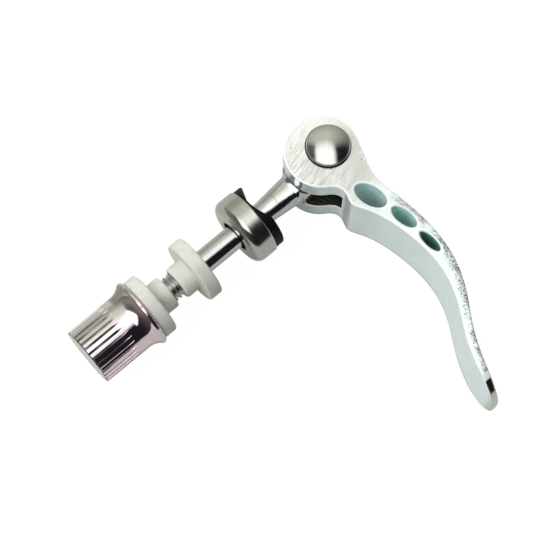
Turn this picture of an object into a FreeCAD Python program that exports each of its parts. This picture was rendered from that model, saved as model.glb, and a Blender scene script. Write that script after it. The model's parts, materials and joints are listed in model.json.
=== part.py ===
import FreeCAD, Part
import math
import os
import re

import Sketcher

# Quick release seatpost clamp: a cam lever riveted to an eye bolt, a saddle in a cup for the cam to press on,
# two flanged bushes that sit in the ears of a frame's seat lug, and a fluted nut.
# The row frame has X along the bolt towards the nut, Y towards the handle's tail and Z up along the rivet.
# Its origin is on the bolt's axis, in the plane where the inner bush seats on its ear of the lug.

doc = FreeCAD.newDocument("seatpost_clamp")
sheet = doc.addObject("Spreadsheet::Sheet", "sizes")

# Driving dimensions, in millimetres and degrees
DIMENSIONS = {
    # places at rest, along the bolt
    "pivot_to_seat": 40.1,
    "cup_gap": 9.9,
    "boss_gap": 2.5,
    # lever: thickness along the rivet, eccentric cam, fork
    "lever_thickness": 19.4,
    "cam_radius": 8.4,
    "cam_offset": 1.75,
    "cam_drop": 0.15,
    "slot_clearance": 0.15,
    "slot_floor": 7.9,
    "slot_tilt": 19.5,
    # lever: notch between the cam and the handle's lip
    "notch_angle": 58.0,
    "notch_lead": 2.4,
    "notch_sway": 3.7,
    "notch_reach": 10.8,
    "lip_sway": 5.55,
    "lip_reach": 13.2,
    # lever: controls of the outer edge beside the head
    "root_reach": 2.8,
    "waist_sway": -2.5,
    "waist_reach": 10.2,
    # handle stations: reach from the pivot, sway of the outer edge's control, depth from edge to edge
    "neck_reach": 17.0,
    "neck_sway": -4.0,
    "neck_depth": 6.35,
    "belly_reach": 25.0,
    "belly_sway": -5.2,
    "belly_depth": 5.2,
    "middle_reach": 35.0,
    "middle_sway": -5.0,
    "middle_depth": 3.95,
    "sweep_reach": 45.0,
    "sweep_sway": -1.0,
    "sweep_depth": 2.5,
    "flick_reach": 54.0,
    "flick_sway": 6.3,
    "flick_depth": 2.2,
    "tail_reach": 65.7,
    "tail_sway": 8.8,
    "tail_depth": 1.6,
    "tail_round": 8.8,
    "lever_edge_round": 0.4,
    "slot_edge_round": 0.3,
    # oval holes through the handle
    "first_hole_reach": 14.45,
    "first_hole_sway": 0.35,
    "first_hole_length": 7.7,
    "first_hole_width": 4.3,
    "first_hole_tilt": 18.0,
    "second_hole_reach": 22.8,
    "second_hole_sway": -1.9,
    "second_hole_length": 6.5,
    "second_hole_width": 3.0,
    "second_hole_tilt": 10.0,
    "third_hole_reach": 30.5,
    "third_hole_sway": -2.45,
    "third_hole_length": 5.8,
    "third_hole_width": 2.1,
    "third_hole_tilt": 4.0,
    # rivet
    "pin_diameter": 6.0,
    "pin_clearance": 0.05,
    "pin_seat_clearance": 0.02,
    "rivet_head_diameter": 9.8,
    "rivet_head_height": 2.2,
    "rivet_dome_diameter": 9.4,
    "rivet_brim": 0.6,
    "rivet_step": 0.5,
    "rivet_edge_break": 0.1,
    # eye bolt
    "eye_diameter": 10.0,
    "eye_width": 7.7,
    "neck_diameter": 7.2,
    "neck_start": 9.8,
    "neck_end": 18.7,
    "neck_flat_width": 6.1,
    "shoulder_slope": 0.9,
    "shank_diameter": 5.5,
    "thread_diameter": 6.0,
    "thread_length": 23.5,
    "thread_run_out": 0.5,
    "bolt_end_chamfer": 0.8,
    # bushes
    "flange_diameter": 15.0,
    "flange_thickness": 3.3,
    "flange_round": 0.5,
    "boss_diameter": 7.85,
    "boss_length": 3.6,
    "inner_boss_round_share": 0.9,
    "outer_boss_round_share": 0.4,
    "bush_clearance": 0.1,
    # cup washer
    "cup_diameter": 16.1,
    "cup_depth": 5.5,
    "cup_wall": 1.0,
    "cup_floor": 1.1,
    "cup_corner": 2.0,
    "cup_inner_corner": 0.7,
    "cup_lip_round": 0.35,
    "cup_hole_diameter": 7.0,
    # cam seat
    "saddle_diameter": 15.4,
    "saddle_height": 2.3,
    "saddle_edge_round": 0.4,
    "saddle_web": 0.4,
    "saddle_turn": 17.0,
    "seat_hole_diameter": 7.5,
    "seat_clearance": 0.1,
    "cam_clearance": 0.15,
    # adjusting nut
    "nut_diameter": 13.7,
    "rim_diameter": 16.3,
    "rim_thickness": 0.9,
    "rim_round": 0.4,
    "flare_length": 3.0,
    "thread_engaged": 11.1,
    "screw_room": 2.4,
    "nut_end_wall": 2.2,
    "nut_end_round": 0.4,
    "nut_clearance": 0.05,
    "nut_face_clearance": 0.05,
    "nut_mouth_chamfer": 0.6,
    "flute_count": 32.0,
    "flute_length": 7.8,
    "flute_point": 2.6,
    "flute_radius": 0.3,
    "flute_depth": 0.24,
}

for row, (alias, value) in enumerate(DIMENSIONS.items(), start=1):
    sheet.set(f"A{row}", alias)
    sheet.set(f"B{row}", str(value))
    sheet.setAlias(f"B{row}", alias)
doc.recompute()


def cell(words):
    # an expression in the sheet's names, with each name led to its cell
    return re.sub(r"[a-z_]+", lambda name: f"sizes.{name[0]}" if name[0] in DIMENSIONS else name[0], words)


def size(words):
    # the number that such an expression gives now
    return float(sheet.evalExpression(cell(words)))


# Places of the pieces at rest and lengths that follow from the driving dimensions
PIVOT_X = "- pivot_to_seat"
CUP_X = "- flange_thickness - cup_gap"
OUTER_BUSH_X = "2 * boss_length + boss_gap"
NUT_X = "2 * boss_length + boss_gap + flange_thickness + nut_face_clearance"
BOLT_END = "pivot_to_seat + 2 * boss_length + boss_gap + flange_thickness + nut_face_clearance + thread_engaged"
NUT_LENGTH = "thread_engaged + screw_room + nut_end_wall"
SLOT_WIDTH = "eye_width + 2 * slot_clearance"


def new_body(label):
    body = doc.addObject("PartDesign::Body", label)
    body.Label = label
    return body


def place(body, x_words, turn_words=None):
    # the piece's place along the bolt, and its turn about the bolt where it has one
    turn = size(turn_words) if turn_words else 0.0
    spot = FreeCAD.Vector(size(x_words), 0, 0)
    body.Placement = FreeCAD.Placement(spot, FreeCAD.Rotation(FreeCAD.Vector(1, 0, 0), turn))
    body.setExpression("Placement.Base.x", cell(x_words))
    if turn_words:
        body.setExpression("Placement.Rotation.Angle", cell(turn_words))


def origin_part(body, role):
    return next(part for part in body.Origin.OriginFeatures if part.Role == role)


def new_sketch(body, name, role):
    sketch = body.newObject("Sketcher::SketchObject", name)
    sketch.AttachmentSupport = (origin_part(body, role), [""])
    sketch.MapMode = "FlatFace"
    return sketch


def bind(sketch, constraint, words):
    # add a constraint whose value comes from the sheet
    index = sketch.addConstraint(constraint)
    name = f"size{index}"
    sketch.renameConstraint(index, name)
    sketch.setExpression(f"Constraints.{name}", cell(words))


def pin_point(sketch, geometry, end, x_words, y_words):
    # hold a point of the sketch at its place, on an axis where a coordinate is nought
    if x_words == "0":
        sketch.addConstraint(Sketcher.Constraint("PointOnObject", geometry, end, -2))
    else:
        bind(sketch, Sketcher.Constraint("DistanceX", -1, 1, geometry, end, size(x_words)), x_words)
    if y_words == "0":
        sketch.addConstraint(Sketcher.Constraint("PointOnObject", geometry, end, -1))
    else:
        bind(sketch, Sketcher.Constraint("DistanceY", -1, 1, geometry, end, size(y_words)), y_words)


def point(x_words, y_words):
    return FreeCAD.Vector(size(x_words), size(y_words), 0)


def draw_loop(sketch, corners, arcs=None):
    # closed outline through corners; arcs maps a side's number to (centre x, centre y, turns left)
    arcs = arcs or {}
    spots = [point(*corner) for corner in corners]
    sides = []
    for number, start in enumerate(spots):
        end = spots[(number + 1) % len(spots)]
        if number in arcs:
            centre_x, centre_y, left = arcs[number]
            centre = point(centre_x, centre_y)
            circle = Part.Circle(centre, FreeCAD.Vector(0, 0, 1), (start - centre).Length)
            first, last = (start, end) if left else (end, start)
            arc = Part.ArcOfCircle(circle, circle.parameter(first), circle.parameter(last))
            sides.append((sketch.addGeometry(arc), 1 if left else 2, 2 if left else 1))
        else:
            sides.append((sketch.addGeometry(Part.LineSegment(start, end)), 1, 2))
    for number, (side, first, last) in enumerate(sides):
        following, lead, _ = sides[(number + 1) % len(sides)]
        sketch.addConstraint(Sketcher.Constraint("Coincident", side, last, following, lead))
        pin_point(sketch, side, first, *corners[number])
        if number in arcs:
            centre_x, centre_y, _ = arcs[number]
            words, kind = (centre_x, "DistanceX") if arcs_need_x(corners, number) else (centre_y, "DistanceY")
            hold_centre(sketch, side, kind, words)
    return [side for side, _, _ in sides]


def arcs_need_x(corners, number):
    # the centre is held along the chord's longer run, where that fixes it best
    chord = point(*corners[(number + 1) % len(corners)]) - point(*corners[number])
    return abs(chord.y) > abs(chord.x)


def hold_centre(sketch, arc, kind, words):
    if words == "0":
        axis = -2 if kind == "DistanceX" else -1
        sketch.addConstraint(Sketcher.Constraint("PointOnObject", arc, 3, axis))
    else:
        bind(sketch, Sketcher.Constraint(kind, -1, 1, arc, 3, size(words)), words)


def draw_spline(sketch, controls):
    # cubic spline whose control points are held by the sheet
    spline = Part.BSplineCurve()
    spline.buildFromPoles([point(*control) for control in controls], False, 3)
    curve = sketch.addGeometry(spline)
    sketch.exposeInternalGeometry(curve)
    for number, control in enumerate(controls, start=1):
        pin_point(sketch, curve + number, 3, *control)
    return curve


def draw_circle(sketch, x_words, y_words, radius_words):
    circle = Part.Circle(point(x_words, y_words), FreeCAD.Vector(0, 0, 1), size(radius_words))
    ring = sketch.addGeometry(circle)
    pin_point(sketch, ring, 3, x_words, y_words)
    bind(sketch, Sketcher.Constraint("Radius", ring, size(radius_words)), radius_words)
    return ring


def draw_oval(sketch, x_words, y_words, length_words, width_words, tilt_words):
    # ellipse whose long axis leans from the Y axis by the tilt
    centre = point(x_words, y_words)
    lean = math.radians(90 + size(tilt_words))
    along = FreeCAD.Vector(math.cos(lean), math.sin(lean), 0)
    across = FreeCAD.Vector(-along.y, along.x, 0)
    far = centre + along * (size(length_words) / 2)
    side = centre + across * (size(width_words) / 2)
    oval = sketch.addGeometry(Part.Ellipse(far, side, centre))
    sketch.exposeInternalGeometry(oval)
    long_axis, short_axis = oval + 1, oval + 2
    pin_point(sketch, oval, 3, x_words, y_words)
    bind(sketch, Sketcher.Constraint("Distance", long_axis, size(length_words)), length_words)
    bind(sketch, Sketcher.Constraint("Distance", short_axis, size(width_words)), width_words)
    line = sketch.Geometry[long_axis]
    heading = line.EndPoint - line.StartPoint
    turned = "90" if heading.dot(along) > 0 else "270"
    bind(sketch, Sketcher.Constraint("Angle", long_axis, math.radians(size(f"{turned} + {tilt_words}"))),
         f"( {turned} + {tilt_words} ) * 1 deg")


def pad(body, name, sketch, length_words):
    feature = body.newObject("PartDesign::Pad", name)
    feature.Profile = sketch
    feature.Midplane = True
    feature.setExpression("Length", cell(length_words))
    doc.recompute()
    return feature


def pocket(body, name, sketch, length_words):
    # a cut to both sides of its sketch, which has to take something away
    before = body.Shape.Volume
    feature = body.newObject("PartDesign::Pocket", name)
    feature.Profile = sketch
    feature.Midplane = True
    feature.setExpression("Length", cell(length_words))
    doc.recompute()
    if body.Shape.Volume >= before:
        raise RuntimeError(f"{name} cuts nothing")
    return feature


def revolve(body, name, sketch, axis):
    feature = body.newObject("PartDesign::Revolution", name)
    feature.Profile = sketch
    feature.ReferenceAxis = (sketch, [axis])
    feature.Angle = 360
    doc.recompute()
    return feature


def turned_body(label, corners, arcs=None):
    # piece turned about the bolt's axis: corners are (place along the axis, radius)
    body = new_body(label)
    sketch = new_sketch(body, f"{label}_profile", "XY_Plane")
    draw_loop(sketch, corners, arcs)
    revolve(body, f"{label}_turned", sketch, "H_Axis")
    return body


def ring_edges(body, x_words, radius_words):
    # names of the round edges about the X axis at a place along it
    names = []
    for number, edge in enumerate(body.Shape.Edges, start=1):
        curve = edge.Curve
        if not isinstance(curve, Part.Circle):
            continue
        local = body.Placement.inverse().multVec(curve.Center)
        if abs(local.x - size(x_words)) < 1e-4 and abs(curve.Radius - size(radius_words)) < 1e-4:
            names.append(f"Edge{number}")
    if not names:
        raise RuntimeError(f"no edge at {x_words} of radius {radius_words}")
    return names


def round_off(body, name, edges, radius_words):
    feature = body.newObject("PartDesign::Fillet", name)
    feature.Base = (body.Tip if body.Tip != feature else feature.BaseFeature, edges)
    feature.setExpression("Radius", cell(radius_words))
    doc.recompute()
    return feature


# Lever: one outline holds the cam's arc, the notch and both edges of the handle
STATIONS = ("neck", "belly", "middle", "sweep", "flick", "tail")
HOLES = ("first", "second", "third")

lever = new_body("lever")
place(lever, PIVOT_X)
outline = new_sketch(lever, "lever_outline", "XY_Plane")
cam_left = ("cam_offset - cam_radius", "- cam_drop")
cam_notch = ("cam_offset + cam_radius * cos(notch_angle)", "- cam_drop + cam_radius * sin(notch_angle)")
outer_controls = [cam_left, ("cam_offset - cam_radius", "root_reach"), ("waist_sway", "waist_reach")]
inner_controls = [
    cam_notch,
    (f"{cam_notch[0]} - notch_lead * sin(notch_angle)", f"{cam_notch[1]} + notch_lead * cos(notch_angle)"),
    ("notch_sway", "notch_reach"),
    ("lip_sway", "lip_reach"),
]
for station in STATIONS:
    outer_controls.append((f"{station}_sway", f"{station}_reach"))
    inner_controls.append((f"{station}_sway + {station}_depth", f"{station}_reach"))
outer_edge = draw_spline(outline, outer_controls)
inner_edge = draw_spline(outline, inner_controls)
cam_circle = Part.Circle(point("cam_offset", "- cam_drop"), FreeCAD.Vector(0, 0, 1), size("cam_radius"))
cam_arc = outline.addGeometry(Part.ArcOfCircle(cam_circle, math.pi, 2 * math.pi + math.radians(size("notch_angle"))))
tail_end = outline.addGeometry(Part.LineSegment(point(*outer_controls[-1]), point(*inner_controls[-1])))
for first, first_end, second, second_end in (
    (cam_arc, 1, outer_edge, 1),
    (outer_edge, 2, tail_end, 1),
    (tail_end, 2, inner_edge, 2),
    (inner_edge, 1, cam_arc, 2),
):
    outline.addConstraint(Sketcher.Constraint("Coincident", first, first_end, second, second_end))
hold_centre(outline, cam_arc, "DistanceX", "cam_offset")
pad(lever, "lever_blank", outline, "lever_thickness")

# The handle's tail is rounded in the plane of its strip, at its top and bottom corners
tail_sketch = new_sketch(lever, "tail_corners", "YZ_Plane")
HALF = "lever_thickness / 2"
for up in ("", "- "):
    inside = f"{up}( {HALF} - tail_round )"
    corners = [
        ("tail_reach - tail_round", f"{up}{HALF}"),
        ("tail_reach", inside),
        ("tail_reach + tail_round", inside),
        ("tail_reach + tail_round", f"{up}( {HALF} + tail_round )"),
        ("tail_reach - tail_round", f"{up}( {HALF} + tail_round )"),
    ]
    draw_loop(tail_sketch, corners, {0: ("tail_reach - tail_round", inside, up == "- ")})
pocket(lever, "tail_rounding", tail_sketch, "2 * tail_reach")

# The fork's slot takes the eye of the bolt; its floor lies square to the handle's root
slot_sketch = new_sketch(lever, "slot_outline", "XY_Plane")
slot_corners = []
for along, depth in ((1, "slot_floor"), (-1, "slot_floor"), (-1, "- 2 * cam_radius"), (1, "- 2 * cam_radius")):
    slot_corners.append((
        f"- sin(slot_tilt) * ( {depth} ) + {along} * 2 * cam_radius * cos(slot_tilt)",
        f"cos(slot_tilt) * ( {depth} ) + {along} * 2 * cam_radius * sin(slot_tilt)",
    ))
draw_loop(slot_sketch, slot_corners)
pocket(lever, "fork_slot", slot_sketch, SLOT_WIDTH)

pin_sketch = new_sketch(lever, "pin_hole", "XY_Plane")
draw_circle(pin_sketch, "0", "0", "pin_diameter / 2 + pin_seat_clearance")
pocket(lever, "pin_bore", pin_sketch, "2 * lever_thickness")

hole_sketch = new_sketch(lever, "oval_holes", "XY_Plane")
for hole in HOLES:
    draw_oval(hole_sketch, *(f"{hole}_hole_{part}" for part in ("sway", "reach", "length", "width", "tilt")))
pocket(lever, "handle_holes", hole_sketch, "2 * lever_thickness")


# Curved edges of the lever at one height on both sides, without those of the pin's bore
def lever_edges(height_words):
    names = []
    for number, edge in enumerate(lever.Shape.Edges, start=1):
        level = all(abs(abs(spot.z) - size(height_words)) < 1e-4 for spot in edge.discretize(5))
        at_pin = isinstance(edge.Curve, Part.Circle) and edge.Curve.Radius < size("pin_diameter")
        if level and not at_pin and not isinstance(edge.Curve, Part.Line):
            names.append(f"Edge{number}")
    return names


round_off(lever, "edge_rounding", lever_edges(HALF), "lever_edge_round")
round_off(lever, "mouth_rounding", lever_edges(f"( {SLOT_WIDTH} ) / 2"), "slot_edge_round")


# Rivet: pin with a low dome on a brim at both ends, turned about Z
rivet = new_body("pivot_rivet")
place(rivet, PIVOT_X)
rivet_sketch = new_sketch(rivet, "rivet_profile", "XZ_Plane")
DOME = "( rivet_head_height - rivet_brim - rivet_step )"
DOME_RADIUS = f"( ( rivet_dome_diameter / 2 ) ^ 2 + {DOME} ^ 2 ) / ( 2 * {DOME} )"
lever_face = "lever_thickness / 2"
brim_top = f"{lever_face} + rivet_brim"
dome_foot = f"{brim_top} + rivet_step"
dome_top = f"{lever_face} + rivet_head_height"
dome_centre = f"{dome_top} - {DOME_RADIUS}"
head_corners = [
    ("pin_diameter / 2", lever_face),
    ("rivet_head_diameter / 2", lever_face),
    ("rivet_head_diameter / 2", f"{brim_top} - rivet_edge_break"),
    ("rivet_head_diameter / 2 - rivet_edge_break", brim_top),
    ("rivet_dome_diameter / 2", brim_top),
    ("rivet_dome_diameter / 2", dome_foot),
    ("0", dome_top),
]
foot_corners = [(across, f"- ( {up} )") for across, up in reversed(head_corners)]
upper_dome = len(foot_corners) + len(head_corners) - 2
draw_loop(rivet_sketch, foot_corners + head_corners, {
    0: ("0", f"- ( {dome_centre} )", True),
    upper_dome: ("0", dome_centre, True),
})
revolve(rivet, "rivet_turned", rivet_sketch, "V_Axis")


# Eye bolt: the neck tapers up to the eye's shoulders and has flats that end in an arc
THREAD_START = f"{BOLT_END} - thread_length"
bolt = turned_body("eye_bolt", [
    ("neck_start", "0"),
    ("neck_start", "neck_diameter / 2"),
    ("neck_end", "shank_diameter / 2"),
    (f"{THREAD_START} - thread_run_out", "shank_diameter / 2"),
    (THREAD_START, "thread_diameter / 2"),
    (f"{BOLT_END} - bolt_end_chamfer", "thread_diameter / 2"),
    (BOLT_END, "thread_diameter / 2 - bolt_end_chamfer"),
    (BOLT_END, "0"),
])
place(bolt, PIVOT_X)
neck_sketch = new_sketch(bolt, "neck_plan", "XY_Plane")
draw_loop(neck_sketch, [
    ("0", "eye_diameter / 2"),
    ("0", "- eye_diameter / 2"),
    ("neck_start", "- neck_diameter / 2"),
    ("neck_start", "neck_diameter / 2"),
])
pad(bolt, "eye_shoulders", neck_sketch, "eye_width")
eye_sketch = new_sketch(bolt, "eye_plan", "XY_Plane")
draw_circle(eye_sketch, "0", "0", "eye_diameter / 2")
pad(bolt, "eye_disc", eye_sketch, "eye_width")
flat_sketch = new_sketch(bolt, "neck_flats", "XZ_Plane")
for up in ("", "- "):
    draw_loop(flat_sketch, [
        ("- eye_diameter", f"{up}eye_width / 2"),
        ("neck_start - shoulder_slope", f"{up}eye_width / 2"),
        ("neck_start", f"{up}neck_flat_width / 2"),
        ("neck_end", f"{up}neck_flat_width / 2"),
        ("neck_end", f"{up}eye_diameter"),
        ("- eye_diameter", f"{up}eye_diameter"),
    ])
pocket(bolt, "neck_flatting", flat_sketch, "2 * eye_diameter")
eye_hole_sketch = new_sketch(bolt, "eye_hole", "XY_Plane")
draw_circle(eye_hole_sketch, "0", "0", "pin_diameter / 2 + pin_clearance")
pocket(bolt, "eye_bore", eye_hole_sketch, "2 * eye_width")


# Cup washer: drawn cup, open towards the lever, with its floor's outer face at its own origin
CUP_RADIUS = "cup_diameter / 2"
CUP_BORE = "( cup_diameter / 2 - cup_wall )"
cup = turned_body("cup_washer", [
    ("0", "cup_hole_diameter / 2"),
    ("0", CUP_RADIUS),
    ("- cup_depth", CUP_RADIUS),
    ("- cup_depth", CUP_BORE),
    ("- cup_floor", CUP_BORE),
    ("- cup_floor", "cup_hole_diameter / 2"),
])
place(cup, CUP_X)
round_off(cup, "cup_corner_round", ring_edges(cup, "0", CUP_RADIUS), "cup_corner")
round_off(cup, "cup_inner_round", ring_edges(cup, "- cup_floor", CUP_BORE), "cup_inner_corner")
round_off(cup, "cup_lip", ring_edges(cup, "- cup_depth", CUP_RADIUS), "cup_lip_round")


# Cam seat: plug in the cup with a head over the cup's lip, hollowed to the cam's curve
PLUG_RADIUS = f"{CUP_BORE} - seat_clearance"
HEAD_FACE = "- cup_depth - seat_clearance"
PLATEAU = "- cup_depth - saddle_height"
VALLEY = "- cup_depth - saddle_web"
SADDLE_RADIUS = "( cam_radius + cam_clearance )"
seat = turned_body("cam_seat", [
    ("- cup_floor - seat_clearance", "seat_hole_diameter / 2"),
    ("- cup_floor - seat_clearance", f"{PLUG_RADIUS} - cup_inner_corner"),
    ("- cup_floor - seat_clearance - cup_inner_corner", PLUG_RADIUS),
    (HEAD_FACE, PLUG_RADIUS),
    (HEAD_FACE, "saddle_diameter / 2"),
    (PLATEAU, "saddle_diameter / 2"),
    (PLATEAU, "seat_hole_diameter / 2"),
])
place(seat, CUP_X, "saddle_turn")
round_off(seat, "saddle_edge", ring_edges(seat, PLATEAU, "saddle_diameter / 2"), "saddle_edge_round")
saddle_sketch = new_sketch(seat, "saddle_hollow", "XY_Plane")
draw_circle(saddle_sketch, f"{VALLEY} - {SADDLE_RADIUS}", "0", SADDLE_RADIUS)
pocket(seat, "saddle", saddle_sketch, "2 * saddle_diameter")


# Flanged bushes: seat face at the bush's own origin, boss ahead of it, flange behind it
def make_bush(label, x_words, side, round_share):
    # side is "" for a boss towards the nut and "- " for one towards the lever; its end is rounded by a share
    # of the boss's wall
    bore = "thread_diameter / 2 + bush_clearance"
    boss_end = f"{side}boss_length"
    back = f"- {side}flange_thickness" if not side else "flange_thickness"
    bush = turned_body(label, [
        (back, bore),
        (back, "flange_diameter / 2"),
        ("0", "flange_diameter / 2"),
        ("0", "boss_diameter / 2"),
        (boss_end, "boss_diameter / 2"),
        (boss_end, bore),
    ])
    place(bush, x_words)
    rims = ring_edges(bush, back, "flange_diameter / 2") + ring_edges(bush, "0", "flange_diameter / 2")
    round_off(bush, f"{label}_flange_round", rims, "flange_round")
    round_off(bush, f"{label}_boss_round", ring_edges(bush, boss_end, "boss_diameter / 2"),
              f"{round_share} * ( boss_diameter / 2 - ( {bore} ) )")
    return bush


inner_bush = make_bush("inner_bush", "0", "", "inner_boss_round_share")
outer_bush = make_bush("outer_bush", OUTER_BUSH_X, "- ", "outer_boss_round_share")


# Adjusting nut: trumpet flare behind the rim, blind bore, pointed flutes to the closed end
RISE = "( rim_diameter / 2 - nut_diameter / 2 )"
FLARE_RADIUS = f"( flare_length ^ 2 + {RISE} ^ 2 ) / ( 2 * {RISE} )"
FLARE_END = "rim_thickness + flare_length"
BORE = "thread_diameter / 2 + nut_clearance"
nut = turned_body("adjusting_nut", [
    ("0", f"{BORE} + nut_mouth_chamfer"),
    ("0", "rim_diameter / 2"),
    ("rim_thickness", "rim_diameter / 2"),
    (FLARE_END, "nut_diameter / 2"),
    (NUT_LENGTH, "nut_diameter / 2"),
    (NUT_LENGTH, "0"),
    ("thread_engaged + screw_room", "0"),
    ("thread_engaged + screw_room", BORE),
    ("nut_mouth_chamfer", BORE),
], {2: (FLARE_END, f"nut_diameter / 2 + {FLARE_RADIUS}", True)})
place(nut, NUT_X)
rim_edges = ring_edges(nut, "0", "rim_diameter / 2") + ring_edges(nut, "rim_thickness", "rim_diameter / 2")
round_off(nut, "rim_rounding", rim_edges, "rim_round")
round_off(nut, "end_rounding", ring_edges(nut, NUT_LENGTH, "nut_diameter / 2"), "nut_end_round")
FLUTE_START = f"{NUT_LENGTH} - flute_length"
FLUTE_FAR = f"{NUT_LENGTH} + flute_length"
FLUTE_HEIGHT = "nut_diameter / 2 + flute_radius - flute_depth"
flute_sketch = new_sketch(nut, "flute_profile", "XZ_Plane")
draw_loop(flute_sketch, [
    (f"{FLUTE_START} - flute_point", FLUTE_HEIGHT),
    (FLUTE_FAR, FLUTE_HEIGHT),
    (FLUTE_FAR, f"{FLUTE_HEIGHT} + flute_radius"),
    (FLUTE_START, f"{FLUTE_HEIGHT} + flute_radius"),
])
flute_axis = flute_sketch.addGeometry(
    Part.LineSegment(point(FLUTE_START, FLUTE_HEIGHT), point(FLUTE_FAR, FLUTE_HEIGHT)), True)
pin_point(flute_sketch, flute_axis, 1, FLUTE_START, FLUTE_HEIGHT)
pin_point(flute_sketch, flute_axis, 2, FLUTE_FAR, FLUTE_HEIGHT)
flute = nut.newObject("PartDesign::Groove", "flute")
flute.Profile = flute_sketch
flute.ReferenceAxis = (flute_sketch, ["Axis0"])
flute.Angle = 360
doc.recompute()
flutes = nut.newObject("PartDesign::PolarPattern", "flutes")
flutes.Originals = [flute]
flutes.Axis = (origin_part(nut, "X_Axis"), [""])
flutes.Angle = 360
flutes.setExpression("Occurrences", cell("flute_count"))
nut.Tip = flutes
doc.recompute()


# Every object has to be sound before anything is written
bodies = [lever, rivet, bolt, seat, cup, inner_bush, outer_bush, nut]
faults = [item.Label for item in doc.Objects if "Invalid" in item.State or "Error" in item.State]
for body in bodies:
    if body.Shape.isNull() or not body.Shape.isValid() or len(body.Shape.Solids) != 1:
        faults.append(body.Label)
if faults:
    raise RuntimeError("failed: " + ", ".join(faults))

os.makedirs("parts", exist_ok=True)
for body in bodies:
    body.Shape.exportStep(f"parts/{body.Label}.step")
    box = body.Shape.BoundBox
    print(f"{body.Label}: volume {body.Shape.Volume:.1f}, x {box.XMin:.2f} to {box.XMax:.2f},"
          f" y {box.YMin:.2f} to {box.YMax:.2f}, z {box.ZMin:.2f} to {box.ZMax:.2f}")
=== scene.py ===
import json
import math

import bmesh
import bpy
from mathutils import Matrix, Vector


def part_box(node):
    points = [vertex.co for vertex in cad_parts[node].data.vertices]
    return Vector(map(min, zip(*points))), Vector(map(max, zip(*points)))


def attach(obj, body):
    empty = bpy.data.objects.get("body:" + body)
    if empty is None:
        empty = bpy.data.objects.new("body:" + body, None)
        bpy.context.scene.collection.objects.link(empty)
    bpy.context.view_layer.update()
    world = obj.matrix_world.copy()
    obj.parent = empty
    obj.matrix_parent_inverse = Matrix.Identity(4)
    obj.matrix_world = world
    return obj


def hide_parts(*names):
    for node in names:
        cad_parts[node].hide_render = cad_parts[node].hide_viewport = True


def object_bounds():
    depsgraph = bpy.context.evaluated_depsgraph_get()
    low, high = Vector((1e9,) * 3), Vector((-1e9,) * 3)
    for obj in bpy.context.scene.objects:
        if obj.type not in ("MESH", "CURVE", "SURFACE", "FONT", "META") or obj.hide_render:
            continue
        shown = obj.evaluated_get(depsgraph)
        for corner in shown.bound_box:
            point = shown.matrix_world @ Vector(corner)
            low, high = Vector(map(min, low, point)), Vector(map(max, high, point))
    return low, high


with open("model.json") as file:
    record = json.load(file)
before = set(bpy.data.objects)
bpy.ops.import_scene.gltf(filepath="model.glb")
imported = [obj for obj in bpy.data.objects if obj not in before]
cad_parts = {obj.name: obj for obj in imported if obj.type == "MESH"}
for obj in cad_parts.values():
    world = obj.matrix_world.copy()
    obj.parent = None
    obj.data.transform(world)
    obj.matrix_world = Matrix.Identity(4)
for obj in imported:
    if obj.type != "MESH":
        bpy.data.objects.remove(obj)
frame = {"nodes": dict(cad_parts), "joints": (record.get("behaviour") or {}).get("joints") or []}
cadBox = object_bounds()
nodes = frame["nodes"]
mm = 0.001
pivots = {joint["name"]: joint["pos_m"] for joint in frame["joints"] if "pos_m" in joint}
pivotX = pivots["lever_pivot"][0] / mm               # the rivet's place on the bolt's axis
print("frame loaded:", len(nodes), "nodes")


def highCorner(node):                                # a node's highest corner in millimetres
    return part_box(node)[1] / mm


class Value:                                         # an output socket that takes part in sums
    def __init__(self, tree, node, out=0):
        self.tree, self.node, self.socket = tree, node, node.outputs[out]

    def part(self, out):                             # another output of the same node
        return Value(self.tree, self.node, out)

    def maths(self, operation, first, second=0.0):
        return self.tree.add("ShaderNodeMath", {"operation": operation}, {0: first, 1: second})

    def __add__(self, other):
        return self.maths("ADD", self, other)

    def __sub__(self, other):
        return self.maths("SUBTRACT", self, other)

    def __rsub__(self, other):
        return self.maths("SUBTRACT", other, self)

    def __mul__(self, other):
        return self.maths("MULTIPLY", self, other)

    def __truediv__(self, other):
        return self.maths("DIVIDE", self, other)

    def __rtruediv__(self, other):
        return self.maths("DIVIDE", other, self)

    def __pow__(self, other):
        return self.maths("POWER", self, other)

    def __rpow__(self, other):
        return self.maths("POWER", other, self)

    def __abs__(self):
        return self.maths("ABSOLUTE", self)

    __radd__, __rmul__ = __add__, __mul__

    def most(self, other):                           # the larger of the two
        return self.maths("MAXIMUM", self, other)

    def mean(self, other):
        return (self + other) * 0.5

    def hypot(self, other):                          # distance of the point (self, other) from 0
        return (self * self + other * other) ** 0.5

    def turn(self, other):                           # angle of the point (self, other) in turns
        return self.maths("ARCTAN2", other, self) / (2 * math.pi)

    def step(self, low, high, first=0.0, last=1.0):  # soft step from first at low to last at high
        return self.tree.add("ShaderNodeMapRange", {"interpolation_type": "SMOOTHSTEP"}, {
            "Value": self, "From Min": low, "From Max": high, "To Min": first, "To Max": last})

    def past(self, level, edges):                    # soft step between two edges measured from a level
        return self.step(*(level + edge for edge in edges))

    def band(self, low, high, soft):                 # 1 between low and high
        return self.step(low - soft, low) * (1.0 - self.step(high, high + soft))


def turned(x, y, degrees):                           # the same point on axes turned by some degrees
    cos, sin = math.cos(math.radians(degrees)), math.sin(math.radians(degrees))
    return x * cos + y * sin, y * cos - x * sin


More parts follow.
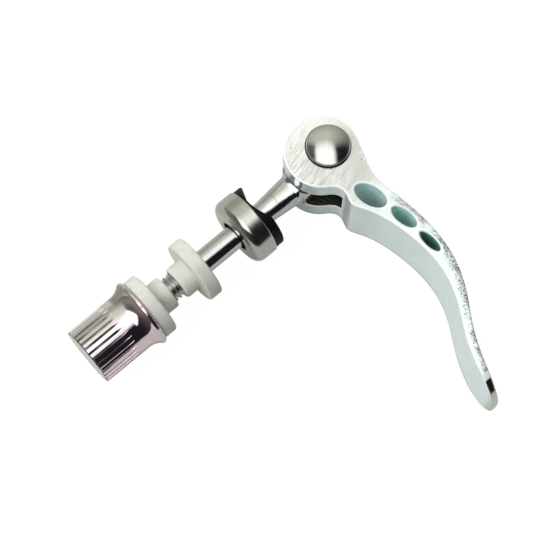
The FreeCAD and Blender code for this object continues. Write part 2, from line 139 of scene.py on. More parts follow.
class Tree:                                          # a node tree, with one way to add a node
    def __init__(self, nodeTree):
        self.nodeTree = nodeTree
        nodeTree.nodes.clear()

    def feed(self, socket, given):                   # link a value to a socket, or set what is given on it
        if isinstance(given, Value):
            self.nodeTree.links.new(given.socket, socket)
        else:
            socket.default_value = given

    def add(self, kind, settings=None, inputs=None, out=0):
        node = self.nodeTree.nodes.new(kind)
        for name, setting in (settings or {}).items():
            if name == "stops":                      # a ramp's or a curve's points
                fillStops(node, setting)
            else:
                setattr(node, name, setting)
        for key, given in (inputs or {}).items():
            self.feed(node.inputs[key], given)
        return Value(self, node, out) if node.outputs else node

    def blend(self, share, first, second):           # colour mix
        inputs = {0: share}
        for key, paint in ((6, first), (7, second)):
            inputs[key] = paint if isinstance(paint, Value) else (*paint, 1.0)
        return self.add("ShaderNodeMix", {"data_type": "RGBA"}, inputs, out=2)

    def noise(self, place, scale=1.0, detail=3.0, rough=0.5):
        return self.add("ShaderNodeTexNoise", {}, {
            "Vector": place, "Scale": scale, "Detail": detail, "Roughness": rough})

    def stretch(self, place, lengths, turn):         # a pattern drawn out to lengths and turned about Z
        return self.add("ShaderNodeMapping", {"vector_type": "TEXTURE"}, {
            "Vector": place, "Rotation": (0.0, 0.0, math.radians(turn)), "Scale": lengths})


def fillStops(node, stops):
    if node.bl_idname == "ShaderNodeFloatCurve":
        curve = node.mapping.curves[0]
        for at, height in stops[1:-1]:
            curve.points.new(at, height)
        curve.points[0].location = stops[0]
        curve.points[-1].location = stops[-1]
        node.mapping.update()
        return
    ramp = node.color_ramp
    while len(ramp.elements) < len(stops):
        ramp.elements.new(1.0)
    for element, (at, colour) in zip(ramp.elements, stops):
        element.position = at
        element.color = (*colour, 1.0)


class Finish:                                        # a surface: its place in millimetres and its layers
    def __init__(self, name, colour, roughness, metallic=1.0, centre=0.0, **sockets):
        self.material = bpy.data.materials.new(name)
        self.material.use_nodes = True
        self.tree = Tree(self.material.node_tree)
        self.place = self.tree.add("ShaderNodeVectorMath", {"operation": "SCALE"}, {
            0: self.tree.add("ShaderNodeTexCoord").part("Object"), "Scale": 1.0 / mm})
        axes = self.tree.add("ShaderNodeSeparateXYZ", {}, {0: self.place})
        self.x = axes - centre if centre else axes   # measured from the centre
        self.y, self.z = axes.part(1), axes.part(2)
        self.shader = self.tree.add("ShaderNodeBsdfPrincipled", {}, sockets)
        self.tree.add("ShaderNodeOutputMaterial", {}, {"Surface": self.shader})
        self.layers = {"Base Color": colour, "Roughness": roughness, "Metallic": metallic}

    def pattern(self, scale=1.0, lengths=None, turn=0.0, detail=3.0, rough=0.5, edge=None):
        place = self.tree.stretch(self.place, lengths, turn) if lengths else self.place
        noise = self.tree.noise(place, scale, detail, rough)
        return noise.step(*edge) if edge else noise

    def lay(self, mask, colour=None, roughness=None, metallic=None, share=None):  # a coat where mask is 1
        if share is not None:
            mask = mask * share
        if colour is not None:
            self.layers["Base Color"] = self.tree.blend(mask, self.layers["Base Color"], colour)
        for name, level in (("Roughness", roughness), ("Metallic", metallic)):
            if level is not None:
                self.layers[name] = self.layers[name] + mask * (level - self.layers[name])

    def bump(self, height, depth, strength):         # depth in millimetres
        self.layers["Normal"] = self.tree.add("ShaderNodeBump", {}, {
            "Strength": strength, "Distance": depth * mm, "Height": height})

    def done(self):
        for name, given in self.layers.items():
            self.tree.feed(self.shader.node.inputs[name], given)
        return self.material


# lever: plated steel, brushed on its head, teal in the holes, scuffed along the outer edge of the handle
# highlightAndScratchWhite: a painted highlight on the rounded edges, hole rims and slot lips, and the bare
# metal of the nick
platedDull = (0.77, 0.86, 0.88)
platedShade = (0.34, 0.40, 0.41)
highlightAndScratchWhite = (0.98, 0.99, 0.98)
leverLook = {                                        # lengths in millimetres, x and y from the rivet
    "plating": {"colour": (0.82, 0.945, 0.96), "roughness": 0.34, "metallic": 0.15},
    "faceEdge": (-0.006, -0.002), "roundEdge": (-0.45, -0.3),  # from the top: each begins, and is whole
    "wall": {
        "cloud": {"scale": 0.16, "edge": (0.35, 0.7)},
        "cloudCoat": {"colour": platedDull, "roughness": 0.38, "share": 0.7},
        "wheel": {"lengths": (5.0, 5.0, 0.22), "detail": 4.0, "rough": 0.6, "edge": (0.45, 0.75)},
        "wheelCoat": {"colour": platedDull, "roughness": 0.45, "share": 0.4},
        "lipReach": (11.1, 12.5), "lipSoft": 1.1, "lipStart": (2.0, 3.4),
        "lipPaintedLightCoat": {"colour": platedShade, "roughness": 0.25, "metallic": 0.4, "share": 0.75},
        "headEnd": (6.0, 10.0),
        "headCoat": {"colour": (0.86, 0.96, 0.96), "roughness": 0.08, "metallic": 0.85, "share": 0.85},
        "edgeHighlightCoat": {"colour": highlightAndScratchWhite, "roughness": 0.42, "metallic": 0.1},
        "footRise": (-9.75, -8.9), "footSoft": 0.15,
        "footShadeCoat": {"colour": platedShade, "roughness": 0.3, "metallic": 0.5},
    },
    "face": {
        "clean": (0.88, 0.895, 0.868), "dull": (0.44, 0.45, 0.425), "green": (0.575, 0.605, 0.54),
        "pink": (0.87, 0.835, 0.845), "handle": (0.83, 0.94, 0.945),
        "roughness": 0.2, "dullRoughness": 0.16, "metallic": 0.55,
        "brush": {"lengths": (4.0, 0.2, 1.0), "turn": 17.0, "detail": 5.0, "rough": 0.7},
        "brushEnd": (16.0, 30.0), "brushRest": 0.4,  # where the brushing fades, its level beyond
        "toneEdge": (0.4, 0.62),
        "toneAcross": (-4.0, 5.0, 0.25, 0.85),       # from, to, strength of the brushing at each
        "toneAlong": (-9.0, -1.0, 0.35, 1.0),
        "patch": {"scale": 0.11, "detail": 2.0, "edge": (0.42, 0.62, 0.0, 0.2)},
        "shadedSide": (-0.75, 0.66), "shadedReach": (0.0, 8.0, 0.0, 0.95),     # greener and darker on that side: painted shade
        "blush": {"scale": 0.3, "edge": (0.52, 0.68)},
        "handleStart": (9.0, 16.0),
        "bumpDepth": 0.03, "bumpStrength": 0.3,
    },
    "wear": {
        "outerEdge": (                               # reach, sway of the convex edge
            (0.0, -6.65), (6.0, -5.0), (12.0, -3.4), (18.0, -4.1), (27.0, -5.0),
            (36.0, -4.1), (44.0, -0.8), (52.0, 4.1), (60.0, 7.34), (65.5, 8.78)),
        "swayLimits": (-10.0, 10.0),
        "tailStart": (60.7, 61.0), "tailInset": (0.1, 1.6), "tailSoft": 0.12,
        "tailCoat": {"colour": (0.72, 0.74, 0.68), "roughness": 0.1, "metallic": 1.0},
        # from, to, how far in, how dark
        "zones": ((20.0, 26.0, 2.8, 0.75), (31.0, 46.0, 2.8, 1.0), (51.0, 60.0, 2.0, 0.85)),
        "zoneSoft": 4.0, "wornThrough": 0.1,         # share of a zone's inset that is wholly worn
        "rub": {"lengths": (1.2, 2.4, 1.0), "turn": 15.0},
        "smear": {"colour": (0.31, 0.315, 0.325), "roughness": 0.4}, "smearEdge": (0.35, 0.65),
        "smearShare": 0.55,
        "grain": {"lengths": (0.3, 0.5, 1.0), "turn": 15.0, "detail": 4.0, "rough": 0.75},
        "grainLift": 0.16, "grainEdge": (0.58, 0.68), "grainZone": (0.02, 0.25),
        "scuff": (0.15, 0.145, 0.15), "scuffEdge": (0.47, 0.6), "scuffRoughness": 0.5,
    },
    "marks": {
        "speckScale": 0.3, "speckChoice": (0.8, 0.82), "speckRadius": (0.03, 0.055),
        "speckCoat": {"colour": (0.15, 0.14, 0.14), "roughness": 0.6},
        "rivetShadowRadius": (4.8, 5.08), "rivetShadowSoft": 0.06,
        "rivetShadowCoat": {"colour": (0.03, 0.03, 0.025), "roughness": 0.6, "metallic": 0.2},
        "nickPlace": (-3.4, 16.8), "nickSlope": 0.3, "nickWidth": (0.07, 0.14), "nickLength": (0.72, 0.9),
        "nickCoat": {"colour": highlightAndScratchWhite, "roughness": 0.4, "metallic": 0.3},
    },
    "holes": {
        "ovals": (                                   # place, length, width, lean, colour of the wall
            ((0.35, 14.45), 7.7, 4.3, 18.0, (0.76, 1.0, 1.0)),
            ((-1.9, 22.8), 6.5, 3.0, 10.0, (0.66, 1.0, 0.97)),
            ((-2.45, 30.5), 5.8, 2.1, 4.0, (0.10, 0.46, 0.37))),
        "rimWidth": 0.42, "rimSoft": 0.1,
        "rimHighlightCoat": {"colour": highlightAndScratchWhite, "roughness": 0.4, "metallic": 0.35},
        "wallEdge": (1.01, 1.06), "roughness": 0.2, "metallic": 0.12,
        "darkest": 0.78, "shadeReach": 0.6, "shadeShare": 0.8,
        "drawn": {"lengths": (0.5, 0.5, 14.0), "edge": (0.3, 0.7, 0.0, 0.2)},
    },
    "slot": {
        "tilt": 19.5, "half": 4.0, "floor": 7.9,     # lean about Z, half its width, depth from the rivet
        "mouth": (0.03, 0.1), "floorSkin": (-0.06, -0.02),     # past the floor
        "lip": (0.3, 0.4), "skin": (0.004, 0.02),    # past half the width
        "lipPaintedLightCoat": {"colour": highlightAndScratchWhite, "roughness": 0.2, "metallic": 0.7},
        "brown": (0.044, 0.042, 0.025), "green": (0.02, 0.042, 0.021), "roughness": 0.35, "metallic": 0.5,
        "rust": {"scale": 0.28, "detail": 2.0, "edge": (0.42, 0.6)},
        "streak": {"lengths": (0.5, 4.0, 1.0), "edge": (0.56, 0.66)},
        "streakCoat": {"colour": (0.12, 0.125, 0.09)},
        "floorStart": (6.4, 6.6),
        "floorCoat": {"colour": platedDull, "roughness": 0.3, "metallic": 0.5},
    },
}


def layWall(plate, look):
    plate.lay(plate.pattern(**look["cloud"]), **look["cloudCoat"])
    plate.lay(plate.pattern(**look["wheel"]), **look["wheelCoat"])           # faint polishing lines
    # painted shade on the lip's flank
    lip = plate.y.band(*look["lipReach"], look["lipSoft"]) * plate.x.step(*look["lipStart"])
    plate.lay(lip, **look["lipPaintedLightCoat"])
    plate.lay(1.0 - plate.y.step(*look["headEnd"]), **look["headCoat"])      # the head mirrors the bolt
    # painted highlight along the rounded edges
    plate.lay(plate.rounded, **look["edgeHighlightCoat"])
    plate.lay(plate.z.band(*look["footRise"], look["footSoft"]), **look["footShadeCoat"])   # painted shade along the lower edge


def layFace(plate, look):
    tree, x, y = plate.tree, plate.x, plate.y
    ending = y.step(*look["brushEnd"])
    brush = plate.pattern(**look["brush"]) * (1.0 - ending) + ending * look["brushRest"]
    tone = brush.step(*look["toneEdge"]) * x.step(*look["toneAcross"]) * y.step(*look["toneAlong"])
    # the green patches are the face's own tone; towards the shaded side the face is painted darker and
    # greener as shade
    sideX, sideY = look["shadedSide"]
    green = plate.pattern(**look["patch"]).most((x * sideX + y * sideY).step(*look["shadedReach"]))
    paint = tree.blend(green, look["clean"], look["green"])
    paint = tree.blend(plate.pattern(**look["blush"]), paint, look["pink"])
    paint = tree.blend(y.step(*look["handleStart"]), paint, look["handle"])
    plate.lay(plate.flat, tree.blend(tone, paint, look["dull"]),
              look["roughness"] + tone * look["dullRoughness"], look["metallic"])
    plate.bump(brush * plate.flat, look["bumpDepth"], look["bumpStrength"])


def convexEdge(plate, look):                         # how far the handle's convex edge sways at each reach
    span = look["outerEdge"][-1][0]                  # the curve is kept between 0 and 1
    low, high = look["swayLimits"]
    stops = [(reach / span, (sway - low) / (high - low)) for reach, sway in look["outerEdge"]]
    curve = plate.tree.add("ShaderNodeFloatCurve", {"stops": stops}, {"Value": plate.y / span})
    return curve * (high - low) + low


def layWear(plate, look):                            # the tail that the hand polishes, and scuffs
    y, rounded = plate.y, plate.rounded
    inset = plate.x - convexEdge(plate, look)        # distance in from the convex edge
    tail = y.step(*look["tailStart"]) * inset.band(*look["tailInset"], look["tailSoft"])
    plate.lay(tail, **look["tailCoat"])
    rub, grain = plate.pattern(**look["rub"]), plate.pattern(**look["grain"])
    dark = plate.tree.blend(rub.step(*look["scuffEdge"]), look["smear"]["colour"], look["scuff"])
    for start, end, reach, strength in look["zones"]:
        worn = y.band(start, end, look["zoneSoft"]) * (1.0 - inset.step(reach * look["wornThrough"], reach))
        plate.lay(worn * rub.step(*look["smearEdge"]) * rounded, **look["smear"],
                  share=strength * look["smearShare"])
        torn = (grain + worn * look["grainLift"]).step(*look["grainEdge"]) * worn.step(*look["grainZone"])
        plate.lay(torn * rounded, dark, look["scuffRoughness"], share=strength)


def layMarks(plate, look):                           # specks, a painted shadow ring round the rivet, a nick by a hole
    cells = plate.tree.add("ShaderNodeTexVoronoi", {"voronoi_dimensions": "2D"}, {
        "Vector": plate.place, "Scale": look["speckScale"]})
    chosen = plate.tree.add("ShaderNodeSeparateColor", {}, {0: cells.part("Color")})
    specks = (1.0 - cells.step(*look["speckRadius"])) * chosen.step(*look["speckChoice"])
    plate.lay(specks * plate.flat, **look["speckCoat"])
    # painted contact shadow round the rivet's brim
    ring = plate.x.hypot(plate.y).band(*look["rivetShadowRadius"], look["rivetShadowSoft"])
    plate.lay(ring * plate.flat, **look["rivetShadowCoat"])
    nickX, nickY = look["nickPlace"]
    along = plate.x - nickX
    across = plate.y - nickY - along * look["nickSlope"]
    nick = (1.0 - abs(across).step(*look["nickWidth"])) * (1.0 - abs(along).step(*look["nickLength"]))
    plate.lay(nick * plate.rounded, **look["nickCoat"])


def layHoles(plate, look):
    drawn = plate.pattern(**look["drawn"])
    for (sway, reach), length, width, lean, colour in look["ovals"]:
        across, along = turned(plate.x - sway, plate.y - reach, lean)
        ring = (along * (2 / length)).hypot(across * (2 / width))            # 1 on the edge of the hole
        rim = 1.0 + look["rimWidth"] * 2 / width
        # painted highlight round each hole's rim
        plate.lay((1.0 - ring.step(rim - look["rimSoft"], rim)) * plate.rounded, **look["rimHighlightCoat"])
        # painted shade: each wall darkens towards one end, and the narrowest hole's colour is darker still
        fade = look["shadeReach"] * length
        shade = along.step(-fade, fade, 0.0, look["shadeShare"]) + drawn
        dark = tuple(part * look["darkest"] for part in colour)
        plate.lay((1.0 - ring.step(*look["wallEdge"])) * (1.0 - plate.rounded),
                  plate.tree.blend(shade, colour, dark), look["roughness"], look["metallic"])


def laySlot(plate, look):                            # the fork that takes the bolt's eye
    along, depth = turned(plate.x, plate.y, look["tilt"])
    mouth = 1.0 - depth.past(look["floor"], look["mouth"])
    # painted highlight along the slot's lips, with real gloss
    plate.lay((1.0 - plate.rise.past(look["half"], look["lip"])) * mouth, **look["lipPaintedLightCoat"])
    inside = (1.0 - plate.rise.past(look["half"], look["skin"])) * mouth
    # the inside of the slot is painted near black as shade, mottled brown and green as stain
    shadeAndStain = plate.tree.blend(plate.pattern(**look["rust"]), look["brown"], look["green"])
    plate.lay(inside, shadeAndStain, look["roughness"], look["metallic"])
    plate.lay(inside * plate.pattern(turn=look["tilt"], **look["streak"]), **look["streakCoat"])
    onFloor = depth.past(look["floor"], look["floorSkin"]) * along.step(*look["floorStart"])
    plate.lay(inside * onFloor, **look["floorCoat"])


def plateFinish(look):
    plate = Finish("plated_steel", **look["plating"], centre=pivotX)
    plate.rise = abs(plate.z)
    top = highCorner("lever").z
    plate.flat, plate.rounded = (plate.rise.past(top, look[name]) for name in ("faceEdge", "roundEdge"))
    layWall(plate, look["wall"])
    layFace(plate, look["face"])
    layWear(plate, look["wear"])
    layMarks(plate, look["marks"])
    layHoles(plate, look["holes"])
    laySlot(plate, look["slot"])
    return plate.done()


# rivet, bolt and cup: polished steel, with painted shade at the rivet's foot and brim, along the bolt's neck
# line and in the cup's hole
polish = {
    "smear": {"scale": 0.45, "detail": 4.0, "rough": 0.6}, "rub": {"detail": 4.0, "rough": 0.6},
    "dullEdge": (0.42, 0.62), "dullRoughness": 0.05,
    "paintedShade": {"colour": (0.012, 0.012, 0.01), "roughness": 0.5, "metallic": 0.6},
    "bumpDepth": 0.004, "bumpStrength": 0.35,
}
rivetLook = {
    "tint": (0.60, 0.61, 0.59), "dull": (0.55, 0.56, 0.53), "roughness": 0.08,
    "lengths": (9.0, 0.25, 1.0), "turn": 49.0,       # of the polishing marks
    "footRadius": (4.6, 4.76), "footRise": (10.42, 10.8),      # where the dome meets its brim
    "brimRadius": (4.84, 4.88), "brimRise": (9.6, 10.0),
    "softRadius": 0.04, "softRise": 0.05,
}
boltLook = {
    "tint": (0.61, 0.62, 0.605), "dull": (0.55, 0.56, 0.54), "roughness": 0.08,
    "lengths": (9.0, 0.4, 0.4), "turn": 0.0,
    "lineX": -24.9, "lineBow": 0.18, "lineWidth": (0.04, 0.1), "lineEnds": (-2.0, 0.6), "lineSoft": 0.4,
    "lineShare": 0.6,
}
cupLook = {
    "tint": (0.565, 0.57, 0.535), "dull": (0.51, 0.515, 0.475), "roughness": 0.15,
    "lengths": (0.2, 3.0, 3.0), "turn": 0.0,
    "holeRadius": (3.75, 3.95),
}


def polishedFinish(name, look, paintedShade, centre=0.0):
    steel = Finish(name, look["tint"], look["roughness"], centre=centre)
    rub = steel.pattern(lengths=look["lengths"], turn=look["turn"], **polish["rub"])
    dull = steel.pattern(**polish["smear"]).mean(rub).step(*polish["dullEdge"])
    steel.lay(dull, look["dull"], look["roughness"] + polish["dullRoughness"])
    steel.lay(paintedShade(steel, look), **polish["paintedShade"])
    steel.bump(rub, polish["bumpDepth"], polish["bumpStrength"])
    return steel.done()


def rivetShade(steel, look):                          # painted shade round the foot of the dome and under the brim
    radius, rise = steel.x.hypot(steel.y), abs(steel.z)
    foot = radius.band(*look["footRadius"], look["softRadius"])
    foot = foot * rise.band(*look["footRise"], look["softRise"])
    brim = radius.step(*look["brimRadius"]) * rise.band(*look["brimRise"], look["softRise"])
    return foot + brim


def neckShadowLine(steel, look):                           # a painted shadow line where the forged flats of the neck run out
    bow = abs(steel.x - look["lineX"] - steel.y * steel.y * look["lineBow"])
    ends = steel.y.band(*look["lineEnds"], look["lineSoft"])
    return (1.0 - bow.step(*look["lineWidth"])) * ends * look["lineShare"]


def cupHoleShade(steel, look):                            # painted shade in the hole, round the bolt
    return 1.0 - steel.y.hypot(steel.z).step(*look["holeRadius"])


# adjusting nut: bright chrome, darker in the bottoms of its flutes, with a worn rim and turning marks on its
# end; a pink painted reflection on one side and painted shade on one side of the flare
chromeDull = (0.70, 0.64, 0.645)
nutLook = {
    "tint": (0.76, 0.755, 0.725), "roughness": 0.06,
    "pink": (0.90, 0.73, 0.815), "pinkReflectionSide": (-4.0, 4.0),
    "smear": {"scale": 0.5, "detail": 4.0, "rough": 0.6}, "dullEdge": (0.42, 0.62),
    "streak": {"lengths": (6.0, 0.5, 0.5), "detail": 4.0, "rough": 0.6},
    "dullCoat": {"colour": chromeDull, "roughness": 0.1, "share": 0.7},
    "bodyRadius": 6.85, "fluteBottomEdge": (-0.192, -0.03), "wallEdge": (-0.54, -0.39),  # from that radius
    "fluteStart": (18.0, 18.5),
    "fluteDarkPattern": {"lengths": (9.0, 1.1, 1.1), "edge": (0.3, 0.6, 0.5, 1.0)},
    "fluteDarkCoat": {"colour": (0.03, 0.028, 0.028), "roughness": 0.3},
    "flare": (14.2, 17.2), "flareSoft": 0.9, "flareShadeSide": (-5.5, -1.5),
    "flareShadeCoat": {"colour": (0.36, 0.31, 0.29), "roughness": 0.12},
    "endEdge": (-0.15, -0.05), "endRings": 5.0, "ringDetail": 2.0, "ringEdge": (0.4, 0.62),
    "endCoat": {"colour": chromeDull, "roughness": 0.2, "share": 0.6},
    "rim": (13.0, 13.95), "rimSoft": 0.1,
    "chips": {"scale": 0.9, "detail": 5.0, "rough": 0.7, "edge": (0.5, 0.6)},
    "chipCoat": {"colour": (0.42, 0.33, 0.29), "roughness": 0.35, "metallic": 0.9, "share": 0.8},
    "bumpDepth": 0.004, "bumpStrength": 0.3,
}


def chromeFinish(look):
    chrome = Finish("chromed_nut", look["tint"], look["roughness"])
    tree, x, y, radius = chrome.tree, chrome.x, chrome.y, chrome.y.hypot(chrome.z)
    # one side is tinted pink: a painted reflection
    chrome.lay(y.step(*look["pinkReflectionSide"]), look["pink"])
    streak = chrome.pattern(**look["streak"])
    chrome.lay(chrome.pattern(**look["smear"]).mean(streak).step(*look["dullEdge"]), **look["dullCoat"])
    # darker in the bottoms of the flutes
    fluteBottom = 1.0 - radius.past(look["bodyRadius"], look["fluteBottomEdge"])
    fluted = x.step(*look["fluteStart"]) * radius.past(look["bodyRadius"], look["wallEdge"])
    chrome.lay(fluteBottom * fluted * chrome.pattern(**look["fluteDarkPattern"]), **look["fluteDarkCoat"])
    # painted shade on one side of the flare
    flare = x.band(*look["flare"], look["flareSoft"]) * (1.0 - y.step(*look["flareShadeSide"]))
    chrome.lay(flare, **look["flareShadeCoat"])
    onEnd = x.past(highCorner("adjusting_nut").x, look["endEdge"])
    across = tree.add("ShaderNodeCombineXYZ", {}, {0: radius * look["endRings"]})
    rings = tree.noise(across, detail=look["ringDetail"]).step(*look["ringEdge"])
    chrome.lay(onEnd * rings, **look["endCoat"])
    chrome.lay(x.band(*look["rim"], look["rimSoft"]) * chrome.pattern(**look["chips"]), **look["chipCoat"])
    chrome.bump(streak, look["bumpDepth"], look["bumpStrength"])
    return chrome.done()


# plastics: black saddle, white bushes
moulding = {
    "cloud": {"scale": 0.35, "rough": 0.6, "edge": (0.4, 0.75)},
    "grainRoughness": 0.15, "grainStrength": 0.5,
}
saddleLook = {
    "colour": (0.002, 0.002, 0.002), "worn": (0.004, 0.004, 0.004), "roughness": 0.42,
    "grainScale": 5.0, "grainDepth": 0.03,
    "sockets": {"Specular IOR Level": 0.16},
}
bushLook = {
    "colour": (0.64, 0.64, 0.60), "worn": (0.57, 0.565, 0.51), "roughness": 0.28,
    "grainScale": 3.0, "grainDepth": 0.02,
    "sockets": {"Subsurface Weight": 0.2, "Subsurface Radius": (0.0012, 0.001, 0.0008)},
}


def plasticFinish(name, look):
    plastic = Finish(name, look["colour"], look["roughness"], 0.0, **look["sockets"])
    grain = plastic.pattern(scale=look["grainScale"])
    plastic.lay(plastic.pattern(**moulding["cloud"]), look["worn"])
    plastic.lay(grain, roughness=look["roughness"] + moulding["grainRoughness"])
    plastic.bump(grain, look["grainDepth"], moulding["grainStrength"])
    return plastic.done()


nylon = plasticFinish("white_nylon", bushLook)
finishes = {
    "lever": plateFinish(leverLook),
    "pivot_rivet": polishedFinish("polished_rivet", rivetLook, rivetShade, pivotX),
    "eye_bolt": polishedFinish("polished_bolt", boltLook, neckShadowLine),
    "cup_washer": polishedFinish("polished_cup", cupLook, cupHoleShade),
    "adjusting_nut": chromeFinish(nutLook),
    "cam_seat": plasticFinish("black_plastic", saddleLook),
    "inner_bush": nylon,
    "outer_bush": nylon,
}
for nodeName, finish in finishes.items():
    mesh = nodes[nodeName].data
    mesh.materials.clear()
    mesh.materials.append(finish)
print("finishes given:", len(set(finishes.values())))


# bolt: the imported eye, neck and shank, with a real screw thread in place of the plain threaded end
threadSizes = {
    "start": 0.65, "end": highCorner("eye_bolt").x, "radius": 3.0, "shankRadius": 2.75,
    "pitch": 1.0, "depth": 0.55, "runIn": 1.2,       # the groove deepens over runIn
    "flank": (0.02, 0.42), "runOut": 0.3,            # shares of the pitch, and of runIn
    "chamfer": 0.8,
    "cutBack": 0.6, "shoulder": 0.5,                 # before start: the shank's cut, the foot of its cone
    "stepsPerTurn": 14, "stepsAround": 72, "chamferSteps": 10,
    "sharpAngle": 35.0, "mergeGap": 1e-7,
}
threadInputs = ("start", "end", "pitch", "depth", "runIn")


def newPiece(name, data):
    piece = bpy.data.objects.new(name, data)
    bpy.context.scene.collection.objects.link(piece)
    return piece


def threadProfile(sizes):                            # (x, radius) of the threaded end, not yet grooved
    start, end, radius, chamfer = (sizes[name] for name in ("start", "end", "radius", "chamfer"))
    pace = sizes["pitch"] / sizes["stepsPerTurn"]
    profile = [(start - back, sizes["shankRadius"]) for back in (sizes["cutBack"], sizes["shoulder"])]
    profile += [(start + index * pace, radius) for index in range(round((end - chamfer - start) / pace))]
    shares = [index / sizes["chamferSteps"] for index in range(sizes["chamferSteps"] + 1)]
    profile += [(end - chamfer * (1 - share), radius - chamfer * share) for share in shares]
    return profile + [(end, 0.0)]


def turnedMesh(profile, around):                     # closed skin turned about X, from millimetres
    shape = bmesh.new()
    rings = []
    for x, radius in profile:
        if radius == 0.0:
            rings.append([shape.verts.new((x * mm, 0.0, 0.0))] * around)
            continue
        angles = (2 * math.pi * index / around for index in range(around))
        wide = radius * mm
        rings.append([shape.verts.new((x * mm, wide * math.cos(angle), wide * math.sin(angle)))
                      for angle in angles])
    for near, far in zip(rings, rings[1:]):
        for index in range(around):
            following = (index + 1) % around
            corners = [near[index], near[following], far[following], far[index]]
            shape.faces.new(list(dict.fromkeys(corners)))      # three corners at the tip
    bmesh.ops.recalc_face_normals(shape, faces=shape.faces)
    return shape


def threadTree(material, sizes):                     # presses a helical groove into a turned mesh
    group = bpy.data.node_groups.new("screwThread", "GeometryNodeTree")
    group.interface.new_socket("mesh", in_out="INPUT", socket_type="NodeSocketGeometry")
    for name in threadInputs:
        group.interface.new_socket(name, in_out="INPUT", socket_type="NodeSocketFloat")
    group.interface.new_socket("mesh", in_out="OUTPUT", socket_type="NodeSocketGeometry")
    tree = Tree(group)
    given = tree.add("NodeGroupInput")
    start, end, pitch, depth, runIn = (given.part(name) for name in threadInputs)
    x = tree.add("ShaderNodeSeparateXYZ", {}, {0: tree.add("GeometryNodeInputPosition")})
    y, z = x.part(1), x.part(2)
    spare = 64.0                                     # whole turns that keep the phase above 0
    phase = x.maths("FRACT", (x - start) / pitch - y.turn(z) + spare)
    groove = 1.0 - abs(phase - 0.5).step(*sizes["flank"])
    inside = ((x - start) / runIn).step(0.0, 1.0) * ((end - x) / runIn).step(0.0, sizes["runOut"])
    radius = y.hypot(z)
    share = (radius - groove * inside * depth).most(0.0) / radius.most(1e-9)
    moved = tree.add("ShaderNodeCombineXYZ", {}, {0: x, 1: y * share, 2: z * share})
    pressed = tree.add("GeometryNodeSetPosition", {}, {"Geometry": given, "Position": moved})
    whole = tree.add("GeometryNodeRealizeInstances", {}, {0: pressed})
    done = tree.add("GeometryNodeSetMaterial", {}, {"Geometry": whole, "Material": material})
    tree.add("NodeGroupOutput", {}, {0: done})
    return group


def applyTree(piece, group, sizes):                  # run a tree on a piece and keep a plain mesh
    modifier = piece.modifiers.new(group.name, "NODES")
    modifier.node_group = group
    for socket in group.interface.items_tree:
        if socket.in_out == "INPUT" and socket.name in sizes:
            modifier[socket.identifier] = sizes[socket.name]
    view = bpy.context.evaluated_depsgraph_get()
    view.update()
    made = bpy.data.meshes.new_from_object(piece.evaluated_get(view))
    piece.modifiers.remove(modifier)
    piece.data = made


def cutNeck(sizes):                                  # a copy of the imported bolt, cut off before its thread
    neck = bmesh.new()
    neck.from_mesh(nodes["eye_bolt"].data)
    bmesh.ops.remove_doubles(neck, verts=neck.verts, dist=sizes["mergeGap"])
    cut = (sizes["start"] - sizes["cutBack"]) * mm
    bmesh.ops.bisect_plane(neck, geom=neck.verts[:] + neck.edges[:] + neck.faces[:],
                           plane_co=(cut, 0, 0), plane_no=(1, 0, 0), clear_outer=True)
    return neck


def makeBolt(sizes, finish):
    shape = turnedMesh(threadProfile(sizes), sizes["stepsAround"])
    plain = bpy.data.meshes.new("boltThread")
    shape.to_mesh(plain)
    thread = newPiece("boltThread", plain)
    applyTree(thread, threadTree(finish, sizes), {name: sizes[name] * mm for name in threadInputs})
    whole = cutNeck(sizes)
    whole.from_mesh(thread.data)
    bmesh.ops.remove_doubles(whole, verts=whole.verts, dist=sizes["mergeGap"])
    joined = bpy.data.meshes.new("eyeBolt")
    whole.to_mesh(joined)
    bpy.data.objects.remove(thread)
    joined.materials.append(finish)
    joined.polygons.foreach_set("use_smooth", [True] * len(joined.polygons))
    joined.set_sharp_from_angle(angle=math.radians(sizes["sharpAngle"]))
    bolt = newPiece("eyeBolt", joined)
    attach(bolt, "bolt")
    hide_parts("eye_bolt")
    return bolt


bolt = makeBolt(threadSizes, finishes["eye_bolt"])
print("bolt threaded:", len(bolt.data.polygons), "faces")


# room: soft box overhead, dim in front, grey wall behind
room = {
    "boxLight": 1.8, "boxTurn": 49.0,                # the box stands square to the camera
    "boxRise": (0.05, 0.2), "boxLeft": (-0.66, -0.42), "boxRight": (0.16, 0.46), "boxSlant": 0.18,
    "boxFront": (0.53, 0.78), "boxBack": (-0.66, 0.04),
    "lowest": 0.05,                                  # least z of a direction for the box
    "lift": (0.3, 0.75),                             # z from the low to the high light of the walls
    "walls": (                                       # azimuth in degrees, light low down, light high up
        (-180, (0.26, 0.265, 0.24), (0.34, 0.355, 0.315)),
        (-170, (0.33, 0.34, 0.30), (0.49, 0.51, 0.435)),
        (-150, (0.45, 0.46, 0.40), (0.70, 0.72, 0.61)),
        (-130, (0.53, 0.545, 0.47), (0.86, 0.88, 0.75)),
        (-92, (0.47, 0.475, 0.415), (0.80, 0.81, 0.70)),
        (-78, (0.38, 0.37, 0.33), (0.64, 0.64, 0.56)),
        (-64, (0.30, 0.28, 0.25), (0.17, 0.18, 0.165)),
        (-30, (0.29, 0.255, 0.235), (0.11, 0.118, 0.112)),
        (0, (0.25, 0.21, 0.205), (0.13, 0.12, 0.12)),
        (20, (0.10, 0.09, 0.092), (0.07, 0.065, 0.07)),
        (60, (0.022, 0.023, 0.028), (0.02, 0.021, 0.026)),
        (90, (0.012, 0.013, 0.018), (0.012, 0.013, 0.018)),
        (115, (0.014, 0.016, 0.02), (0.014, 0.016, 0.02)),
        (130, (0.16, 0.165, 0.165), (0.015, 0.017, 0.022)),
        (150, (0.24, 0.245, 0.24), (0.02, 0.022, 0.026)),
        (160, (0.25, 0.255, 0.245), (0.05, 0.052, 0.055)),
        (172, (0.25, 0.255, 0.24), (0.22, 0.225, 0.205)),
        (180, (0.26, 0.265, 0.24), (0.34, 0.355, 0.315))),
}


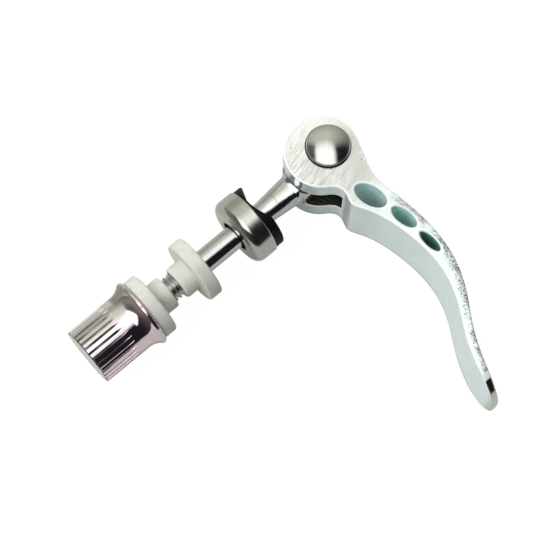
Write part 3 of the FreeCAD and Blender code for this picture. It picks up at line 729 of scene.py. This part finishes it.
def makeWorld(room):
    world = bpy.data.worlds.new("studio")
    world.use_nodes = True
    bpy.context.scene.world = world
    tree = Tree(world.node_tree)
    x = tree.add("ShaderNodeSeparateXYZ", {}, {0: tree.add("ShaderNodeTexCoord").part("Generated")})
    y, z = x.part(1), x.part(2)
    azimuth = x.turn(y) + 0.5
    ramps = []
    for level in (1, 2):                             # low down, high up
        stops = [(wall[0] / 360 + 0.5, wall[level]) for wall in room["walls"]]
        ramps.append(tree.add("ShaderNodeValToRGB", {"stops": stops}, {0: azimuth}))
    walls = tree.blend(z.step(*room["lift"]), *ramps)
    front, across = (side / z.most(room["lowest"]) for side in turned(x, y, room["boxTurn"]))
    right = (across - front * room["boxSlant"]).step(*room["boxRight"])
    box = z.step(*room["boxRise"]) * across.step(*room["boxLeft"]) * (1.0 - right)
    box = box * (1.0 - front.step(*room["boxFront"])) * front.step(*room["boxBack"])
    sky = tree.blend(box, walls, (room["boxLight"],) * 3)
    path = tree.add("ShaderNodeLightPath")
    seen = tree.blend(path.part("Is Camera Ray"), sky, (1.0, 1.0, 1.0))
    light = tree.add("ShaderNodeBackground", {}, {"Color": seen})
    tree.add("ShaderNodeOutputWorld", {}, {"Surface": light})


# lamps: they light the matt surfaces, and what metal mirrors is the room
lamps = (                                            # name, place, size, power
    ("fill", (317.0, -148.0, 430.0), 450.0, 2.38),
    ("back", (-380.0, -438.0, 150.0), 220.0, 0.8),
)


def makeLamps(lamps):
    for name, place, size, power in lamps:
        lamp = bpy.data.lights.new(name, "AREA")
        lamp.shape, lamp.size, lamp.energy = "DISK", size * mm, power
        holder = newPiece(name, lamp)
        holder.location = Vector(place) * mm
        holder.rotation_euler = (-holder.location).to_track_quat("-Z", "Y").to_euler()  # at the bolt
        holder.visible_glossy = False


# floor: pale paper that the camera sees as white
paper = {"gap": 0.05, "size": 1500.0, "colour": (0.50, 0.51, 0.475), "white": 1.08, "cameraShare": 0.9,
         "mirrorShare": 0.1}


def makeFloor(paper):
    half = paper["size"] / 2 * mm
    top = cadBox[0].z - paper["gap"] * mm            # just under the lowest piece
    mesh = bpy.data.meshes.new("floor")
    corners = [(-half, -half, top), (half, -half, top), (half, half, top), (-half, half, top)]
    mesh.from_pydata(corners, [], [(0, 1, 2, 3)])
    material = bpy.data.materials.new("floorPaper")
    material.use_nodes = True
    tree = Tree(material.node_tree)
    matt = tree.add("ShaderNodeBsdfDiffuse", {}, {"Color": (*paper["colour"], 1.0)})
    white = tree.add("ShaderNodeEmission", {}, {"Color": (1.0, 1.0, 1.0, 1.0), "Strength": paper["white"]})
    path = tree.add("ShaderNodeLightPath")
    mirrored = path.part("Is Glossy Ray") + path.part("Is Transmission Ray")
    share = path.part("Is Camera Ray") * paper["cameraShare"] + mirrored * paper["mirrorShare"]
    surface = tree.add("ShaderNodeMixShader", {}, {0: share, 1: matt, 2: white})
    tree.add("ShaderNodeOutputMaterial", {}, {"Surface": surface})
    mesh.materials.append(material)
    newPiece("floor", mesh)


# camera: at the photograph's angle
shot = {"place": (53.50, 86.20, 359.48), "turn": (15.526, -0.477, 139.127), "lens": 111.07, "sensor": 36.0,
        "clip": (10.0, 20000.0)}


def makeCamera(shot):
    camera = bpy.data.cameras.new("camera")
    camera.lens, camera.sensor_width = shot["lens"], shot["sensor"]
    camera.clip_start, camera.clip_end = (distance * mm for distance in shot["clip"])
    holder = newPiece("camera", camera)
    holder.location = Vector(shot["place"]) * mm
    holder.rotation_euler = [math.radians(turn) for turn in shot["turn"]]
    bpy.context.scene.camera = holder


makeWorld(room)
makeLamps(lamps)
makeFloor(paper)
makeCamera(shot)
bpy.context.scene.view_settings.view_transform = "Standard"
print("studio set")
